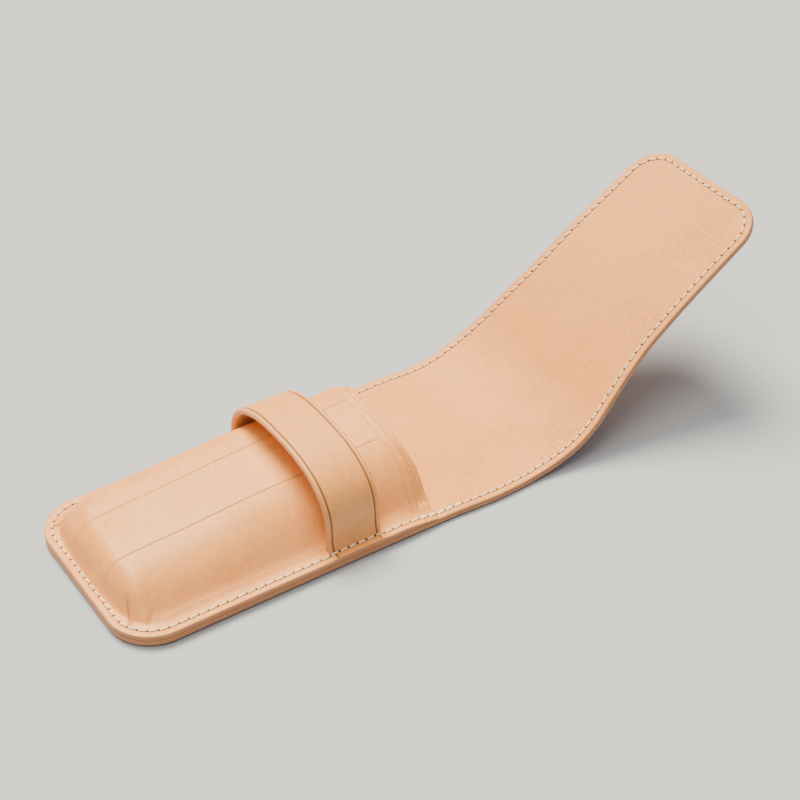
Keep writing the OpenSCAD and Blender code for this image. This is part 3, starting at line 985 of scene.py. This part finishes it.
def divider_faces():
    """The two faces of a wall of DIVIDER_STEPS by DIVIDER_ROWS points, and the strip round its edge."""
    rows, steps = DIVIDER_ROWS, DIVIDER_STEPS
    n = rows * steps
    faces = []
    for i in range(steps - 1):
        for j in range(rows - 1):
            a = i * rows + j
            b = a + rows
            faces += [(a, b, b + 1, a + 1), (a + n, a + 1 + n, b + 1 + n, b + n)]
    ring = list(range(rows))
    ring += [i * rows + rows - 1 for i in range(1, steps)]
    ring += [(steps - 1) * rows + j for j in range(rows - 2, -1, -1)]
    ring += [i * rows for i in range(steps - 2, 0, -1)]
    return faces + [(a, b, b + n, a + n) for a, b in zip(ring, ring[1:] + ring[:1])]


def make_divider(name, x, side):
    """An upright wall of leather, glued along its two long edges."""
    us = DIVIDER_START + (DIVIDER_END - DIVIDER_START) * np.linspace(0, 1, DIVIDER_STEPS) ** 1.3
    outer_x = x + side * DIVIDER_HALF + 0 * us
    tops = moulded(outer_x, us, LINING_TOP, FRONT_T + 0.9 * INNER_T, LAYER_GAP) - 0.05
    share = np.linspace(0, 1, DIVIDER_ROWS)
    u = np.repeat(us, DIVIDER_ROWS)
    z = (LINING_TOP + (tops - LINING_TOP)[:, None] * share).ravel()
    to_end = np.minimum(DIVIDER_END - u, 5)
    half = DIVIDER_HALF - rounding(0.35, to_end) * 0.9
    middle = x + 0.18 * waves(u, z, 30, 5) * smooth((z - LINING_TOP) / 3)
    right = np.stack((middle + half, BOTTOM_Y + u, z), -1)
    left = np.stack((middle - half, BOTTOM_Y + u, z), -1)
    flat = np.stack((u, z, 0 * u + x), -1)
    wear_and_shade = np.stack((smooth((0.5 - to_end) / 0.5), 0 * u, 0 * u), -1)
    values = {
        "flat": np.concatenate((flat, flat + (0, 0, 1))),
        "seam": np.zeros((2 * len(u), 3)),
        "wear_and_shade": np.concatenate((wear_and_shade, wear_and_shade)),
    }
    obj = new_object(f"wall_{name}", np.concatenate((right, left)), divider_faces(), DIVIDER, values)
    belongs(obj, [f"divider_{name}"], "case")


make_divider("left", CREASES[0], -1)
make_divider("right", CREASES[1], 1)

# ---- Strap ---------------------------------------------------------------------------------

STRAP_HALF = BULGE_HALF + 0.1 + STRAP_T
STRAP_TOP = top_of("strap").z
STRAP_SHOULDER = 11.4
STRAP_LEAN = 2.6
# Its ends are skived thin where they are sewn down, and curve out towards the seam.
SKIVED = 0.3
FOOT_RISE = 4.5
BORDER = 1.85
ARCH_STEPS = 120
# Distances from the strap's border of the points along it, close together at its creased line.
STRAP_ROWS = (0.0, 0.06, 0.2, 0.42, 0.7, 1.0, 1.35, 1.58, 1.72, 1.85, 1.98, 2.12, 2.4)


def lean_in(x, z):
    """The strap's left side leans in as it rises."""
    share = np.maximum(0, -x) / STRAP_HALF * smooth((z - RIM_TOP) / 10)
    return x + STRAP_LEAN * share


def arch(angle, inset):
    """The strap's curve over the bulge, rounder on its left shoulder."""
    c, s = np.cos(angle), np.sin(angle)
    power = np.where(c < 0, 2 / 2.3, 2 / 2.6)
    x = (STRAP_HALF - inset) * np.sign(c) * np.abs(c) ** power
    z = STRAP_SHOULDER + (STRAP_TOP - STRAP_SHOULDER - inset) * np.abs(s) ** power
    return lean_in(x, z), z


def strap_curves():
    """Outer and inner curve of the strap from its right end to its left one, point by point."""
    out_x, out_z, in_x, in_z = [], [], [], []
    for x in HALF_W - np.array(ROWS[:13]):
        out_x.append(x)
        out_z.append(RIM_TOP + SKIVED + 0.04 * (HALF_W - x))
        in_x.append(x)
        in_z.append(RIM_TOP)
    foot_x, foot_z = out_x[-1] - 0.16, out_z[-1]
    for t in np.linspace(0, math.pi / 2, 13)[1:]:
        share = t / (math.pi / 2)
        out_x.append(STRAP_HALF + (foot_x - STRAP_HALF) * (1 - math.sin(t)))
        out_z.append(foot_z + FOOT_RISE * (1 - math.cos(t)))
        in_x.append(max(STRAP_HALF - STRAP_T, foot_x - (foot_x - STRAP_HALF + STRAP_T) * share * 1.3))
        in_z.append(RIM_TOP + (out_z[-1] - RIM_TOP - 1.0) * smooth((share - 0.75) / 0.25))
    start_z = out_z[-1]
    for t in np.linspace(0, 1, 6)[1:-1]:
        out_x.append(STRAP_HALF)
        out_z.append(start_z + (STRAP_SHOULDER - start_z) * t)
        in_x.append(STRAP_HALF - STRAP_T)
        in_z.append(start_z - 1.0 + (STRAP_SHOULDER - start_z + 1.0) * t)
    right = np.array((out_x, out_z, in_x, in_z))
    angles = np.linspace(0, math.pi, ARCH_STEPS + 1)
    angles = angles - 0.09 * np.sin(4 * angles)
    middle = np.array(arch(angles, 0) + arch(angles, STRAP_T))
    left = right[:, ::-1].copy()
    left[0] = lean_in(-left[0], left[1])
    left[2] = lean_in(-left[2], left[3])
    return np.concatenate((right, middle, left), 1)


def strap_across():
    """Distances from one border of the points on the grain side, and of the fewer on the flesh side."""
    width = STRAP_U1 - STRAP_U0
    near = np.array(STRAP_ROWS)
    across = np.concatenate((near, np.arange(2.9, width - 2.85, 0.36), width - near[::-1]))
    return across, np.concatenate((across[:-1:3], across[-1:]))


def strap_grain(outer, normal, thick, along, across):
    """Points, and their values, across the grain side at one place along the strap."""
    width = across[-1]
    on_tab = abs(outer[0]) > STRAP_HALF + 0.5
    u = STRAP_U0 + across
    x = outer[0] + 0 * u
    lines = groove(across - BORDER, 0.29) + groove(width - across - BORDER, 0.27)
    deep = (rounding(0.95, across) + rounding(0.95, width - across)) * min(1, thick / 2.0)
    deep = deep + min(0.4, 0.25 * thick) * lines
    deep = deep + min(float(rounding(0.6, HALF_W - abs(outer[0]))), thick * 0.7)
    rim = smooth((0.8 - np.minimum(across, width - across)) / 0.8)
    if on_tab:
        deep = deep + seam_dip(x, u, 0.12, 0.15)
        rim = np.maximum(rim, smooth((0.7 - (HALF_W - np.abs(x))) / 0.7))
    else:
        deep = deep - 0.12 * waves(along + 0 * u, u, 24, 12)
    points = outer - normal * np.minimum(deep, thick * 0.85)[:, None]
    verts = np.stack((points[:, 0], BOTTOM_Y + u, points[:, 1]), -1)
    flat = np.stack((along + 0 * u, u, 0 * u + GRAIN_MARK), -1)
    seam = np.stack((rim_along(x, u) / PITCH, HALF_W - np.abs(x) - SEAM, float(on_tab) + 0 * u), -1)
    return verts, flat, seam, np.stack((rim, lines, 0 * u), -1)


def strap_flesh(inner, normal, thick, along, across):
    """The same for the flesh side, in the other direction, so that the two make one ring."""
    across = across[::-1]
    width = across[0]
    u = STRAP_U0 + across
    deep = (rounding(0.8, across) + rounding(0.8, width - across)) * min(1, thick / 2.0)
    points = inner + normal * deep[:, None]
    verts = np.stack((points[:, 0], BOTTOM_Y + u, points[:, 1]), -1)
    flat = np.stack((along + 0 * u, u, 0 * u + FLESH_MARK), -1)
    rim = smooth((0.7 - np.minimum(across, width - across)) / 0.7)
    return verts, flat, np.zeros((len(u), 3)), np.stack((rim, 0 * u, 0 * u), -1)


def tube_faces(rings, sides, start=0):
    """Faces of a closed tube whose points follow ring after ring."""
    faces = []
    for i in range(rings - 1):
        a = start + i * sides
        b = a + sides
        for j in range(sides):
            k = (j + 1) % sides
            faces.append((a + j, b + j, b + k, a + k))
    last = start + (rings - 1) * sides
    faces.append(tuple(start + j for j in range(sides)))
    faces.append(tuple(last + j for j in range(sides - 1, -1, -1)))
    return faces


def make_strap():
    curves = strap_curves()
    outer, inner = curves[:2].T, curves[2:].T
    steps = np.linalg.norm(np.diff(outer, axis=0), axis=1)
    along = np.concatenate(([0], np.cumsum(steps)))
    grain_rows, flesh_rows = strap_across()
    parts = []
    for i in range(len(outer)):
        thick = np.linalg.norm(outer[i] - inner[i])
        normal = (outer[i] - inner[i]) / thick
        parts.append(strap_grain(outer[i], normal, thick, along[i], grain_rows))
        parts.append(strap_flesh(inner[i], normal, thick, along[i], flesh_rows))
    verts, flat, seam, wear_and_shade = (np.concatenate(column) for column in zip(*parts))
    faces = tube_faces(len(outer), len(grain_rows) + len(flesh_rows))
    obj = new_object("strap_band", verts, faces, STRAP, {"flat": flat, "seam": seam, "wear_and_shade": wear_and_shade})
    belongs(obj, ["strap"], "case")


make_strap()

# ---- Sewing thread -------------------------------------------------------------------------

THREAD_R = 0.34
TUBE_SIDES = 8
TUBE_RINGS = 9
# Length of one turn of the strands, how far a stitch leans across the seam and how much that varies,
# and how far from the seam the two passes lie where it is sewn twice.
TWIST = 0.95
SLANT = 0.34
WOBBLE = 0.035
DOUBLED = 0.27


def seat(u):
    """Height over the table, or over the outer face past the mouth, of what the front row sits on."""
    x = HALF_W - SEAM
    edge = 0.5
    front_end, inner_end = mouth_line(x), inner_line(x)
    front = RIM_TOP - FRONT_SKIVE * skived(x, front_end - u, FRONT_SKIVE_LEN)
    inner = INNER_TOP - INNER_SKIVE * skived(x, inner_end - u, INNER_SKIVE_LEN)
    h = LINING_TOP + (inner - LINING_TOP) * smooth((inner_end + edge - u) / edge)
    h = h + (front - h) * smooth((front_end + edge - u) / edge)
    strap = smooth((u - STRAP_U0 + edge) / edge) * smooth((STRAP_U1 + edge - u) / edge)
    return h + (SKIVED + 0.1) * strap


def stitch_line(a0, a1, side, offset, slant, height, sink):
    """Centre line, in space, of one stitch between two holes."""
    t = np.linspace(0, 1, TUBE_RINGS)
    along = a0 + (a1 - a0) * (0.09 + 0.82 * t)
    d = SEAM + offset + slant * (t - 0.5)
    x, u = rim_point(along * side, d)
    lift = 0.03 - 0.62 * np.abs(2 * t - 1) ** 6
    return x, u, height(u) + sink * lift


def stitch_tube(x, u, h, length):
    """Points of one stitch about its centre line, with their places, the twist of the strands and the
    share of painted shade near its ends.
    """
    line = on_back(x, u, h)
    ahead = np.gradient(line, axis=0)
    ahead /= np.linalg.norm(ahead, axis=1)[:, None]
    slope = path(u)[2]
    up = np.stack((0 * u, -np.sin(slope), np.cos(slope)), -1)
    across = np.cross(ahead, up)
    across /= np.linalg.norm(across, axis=1)[:, None]
    up = np.cross(across, ahead)
    around = np.arange(TUBE_SIDES) * 2 * math.pi / TUBE_SIDES
    t = np.linspace(-1, 1, TUBE_RINGS)
    verts, flat, strand_and_shade = [], [], []
    for i in range(TUBE_RINGS):
        ring = across[i] * np.cos(around)[:, None] * 1.12 + up[i] * np.sin(around)[:, None] * 0.92
        verts.append(line[i] + ring * THREAD_R * (1 - 0.25 * abs(t[i]) ** 4))
        turns = around / math.pi + i / (TUBE_RINGS - 1) * length / TWIST
        place_h = h[i] + 0.3 * np.sin(around)
        flat.append(np.stack((x[i] + 0.3 * np.cos(around), u[i] + 0 * around, place_h), -1))
        # Turns of the strands, and the share of painted shade near the ends of the stitch.
        strand_and_shade.append(np.stack((turns, abs(t[i]) ** 8 + 0 * around, 0 * around), -1))
    return verts, flat, strand_and_shade


def make_thread(name, rows, node):
    """One piece with every stitch in rows: (from, to, side, offset, slant, height, sink)."""
    verts, faces, flat, strand_and_shade = [], [], [], []
    for count, row in enumerate(rows):
        tube = stitch_tube(*stitch_line(*row), row[1] - row[0])
        for into, values in zip((verts, flat, strand_and_shade), tube):
            into += values
        faces += tube_faces(TUBE_RINGS, TUBE_SIDES, count * TUBE_RINGS * TUBE_SIDES)
    faces = [(f[0],) + f[:0:-1] for f in faces]
    values = {"flat": np.concatenate(flat), "strand_and_shade": np.concatenate(strand_and_shade)}
    obj = new_object(name, np.concatenate(verts), faces, THREAD, values)
    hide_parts(node)
    return obj


def stitch_rows(u0, u1, front):
    """The stitches of both sides whose middle lies between u0 and u1 along the seam."""
    rng = np.random.default_rng(int(1000 + u0 * 10))
    rows = []
    for side in (1, -1):
        for k in range(round(SEAM_TOTAL / PITCH)):
            middle = (k + 0.5) * PITCH
            u = float(rim_point(np.array(middle), SEAM)[1])
            at = TIP_CU if middle > TIP_START else u
            if not u0 <= at < u1:
                continue
            wobble = rng.normal(0, WOBBLE, 2)
            slant = SLANT + wobble[1]
            a0, a1 = k * PITCH, (k + 1) * PITCH
            if front:
                doubled = POCKET - 3 < u < POCKET + 15 and middle < TIP_START
                for off in (-DOUBLED, DOUBLED) if doubled else (wobble[0],):
                    rows.append((a0, a1, side, off, slant, front_height, 1.0))
            else:
                rows.append((a0, a1, side, wobble[0], -slant, back_height, -0.8))
    return rows


def front_height(u):
    return seat(u) - 0.2 + THREAD_R * 0.85


def back_height(u):
    return 0.45 - THREAD_R * 0.35 + 0 * u


def make_stitches():
    for side, half in ((1, "right"), (-1, "left")):
        rows = stitch_rows(-1, POCKET_CUT, True) + stitch_rows(-1, POCKET_CUT, False)
        rows = [r for r in rows if r[2] == side]
        obj = make_thread(f"thread_{half}", rows, f"stitching_{half}")
        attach(obj, "case")
    for k in range(1, FOLDS + 1):
        u0 = POCKET_CUT + (k - 1) * FOLD_STEP
        rows = stitch_rows(u0, u0 + FOLD_STEP, True) + stitch_rows(u0, u0 + FOLD_STEP, False)
        bend(make_thread(f"thread_fold_{k}", rows, f"flap_{k}_stitching"))
    rows = stitch_rows(TIP_CUT, TIP_U, True) + stitch_rows(TIP_CUT, TIP_U, False)
    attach(make_thread("thread_tip", rows, "flap_6_stitching"), "flap_6")


make_stitches()

# ---- Floor and light -----------------------------------------------------------------------

# The floor and the lights are in metres.
FLOOR_HALF = 12.0
FLOOR_STEPS = 24
FLOOR_Z = -0.0002
WARM = (1, 0.84, 0.56)
SKY = (0.94, 0.95, 0.94, 1)
SKY_STRENGTH = 0.36


def make_floor():
    axis = np.linspace(-FLOOR_HALF, FLOOR_HALF, FLOOR_STEPS + 1)
    verts = [(x, y, FLOOR_Z) for y in axis for x in axis]
    faces = []
    for row in range(FLOOR_STEPS):
        for column in range(FLOOR_STEPS):
            a = row * len(axis) + column
            b = a + len(axis)
            faces.append((a, a + 1, b + 1, b))
    mesh = bpy.data.meshes.new("floor")
    mesh.from_pydata(verts, [], faces)
    mesh.materials.append(floor_material())
    floor = bpy.data.objects.new("floor", mesh)
    bpy.context.scene.collection.objects.link(floor)


def distant_light(name, towards, strength, spread):
    """A soft light from far away, so that the floor is as bright at its edges as under the case."""
    light = bpy.data.lights.new(name, "SUN")
    light.energy = strength
    light.angle = math.radians(spread)
    light.color = WARM
    obj = bpy.data.objects.new(name, light)
    bpy.context.scene.collection.objects.link(obj)
    obj.location = towards
    obj.rotation_euler = (-Vector(towards)).to_track_quat("-Z", "Y").to_euler()


def make_world():
    world = bpy.data.worlds.new("world")
    bpy.context.scene.world = world
    world.use_nodes = True
    background = world.node_tree.nodes["Background"]
    background.inputs["Color"].default_value = SKY
    background.inputs["Strength"].default_value = SKY_STRENGTH


make_floor()
make_world()
distant_light("key", (-0.46, 0.03, 0.85), 8.6, 30)
distant_light("over", (0.05, -0.25, 1.1), 2.0, 40)
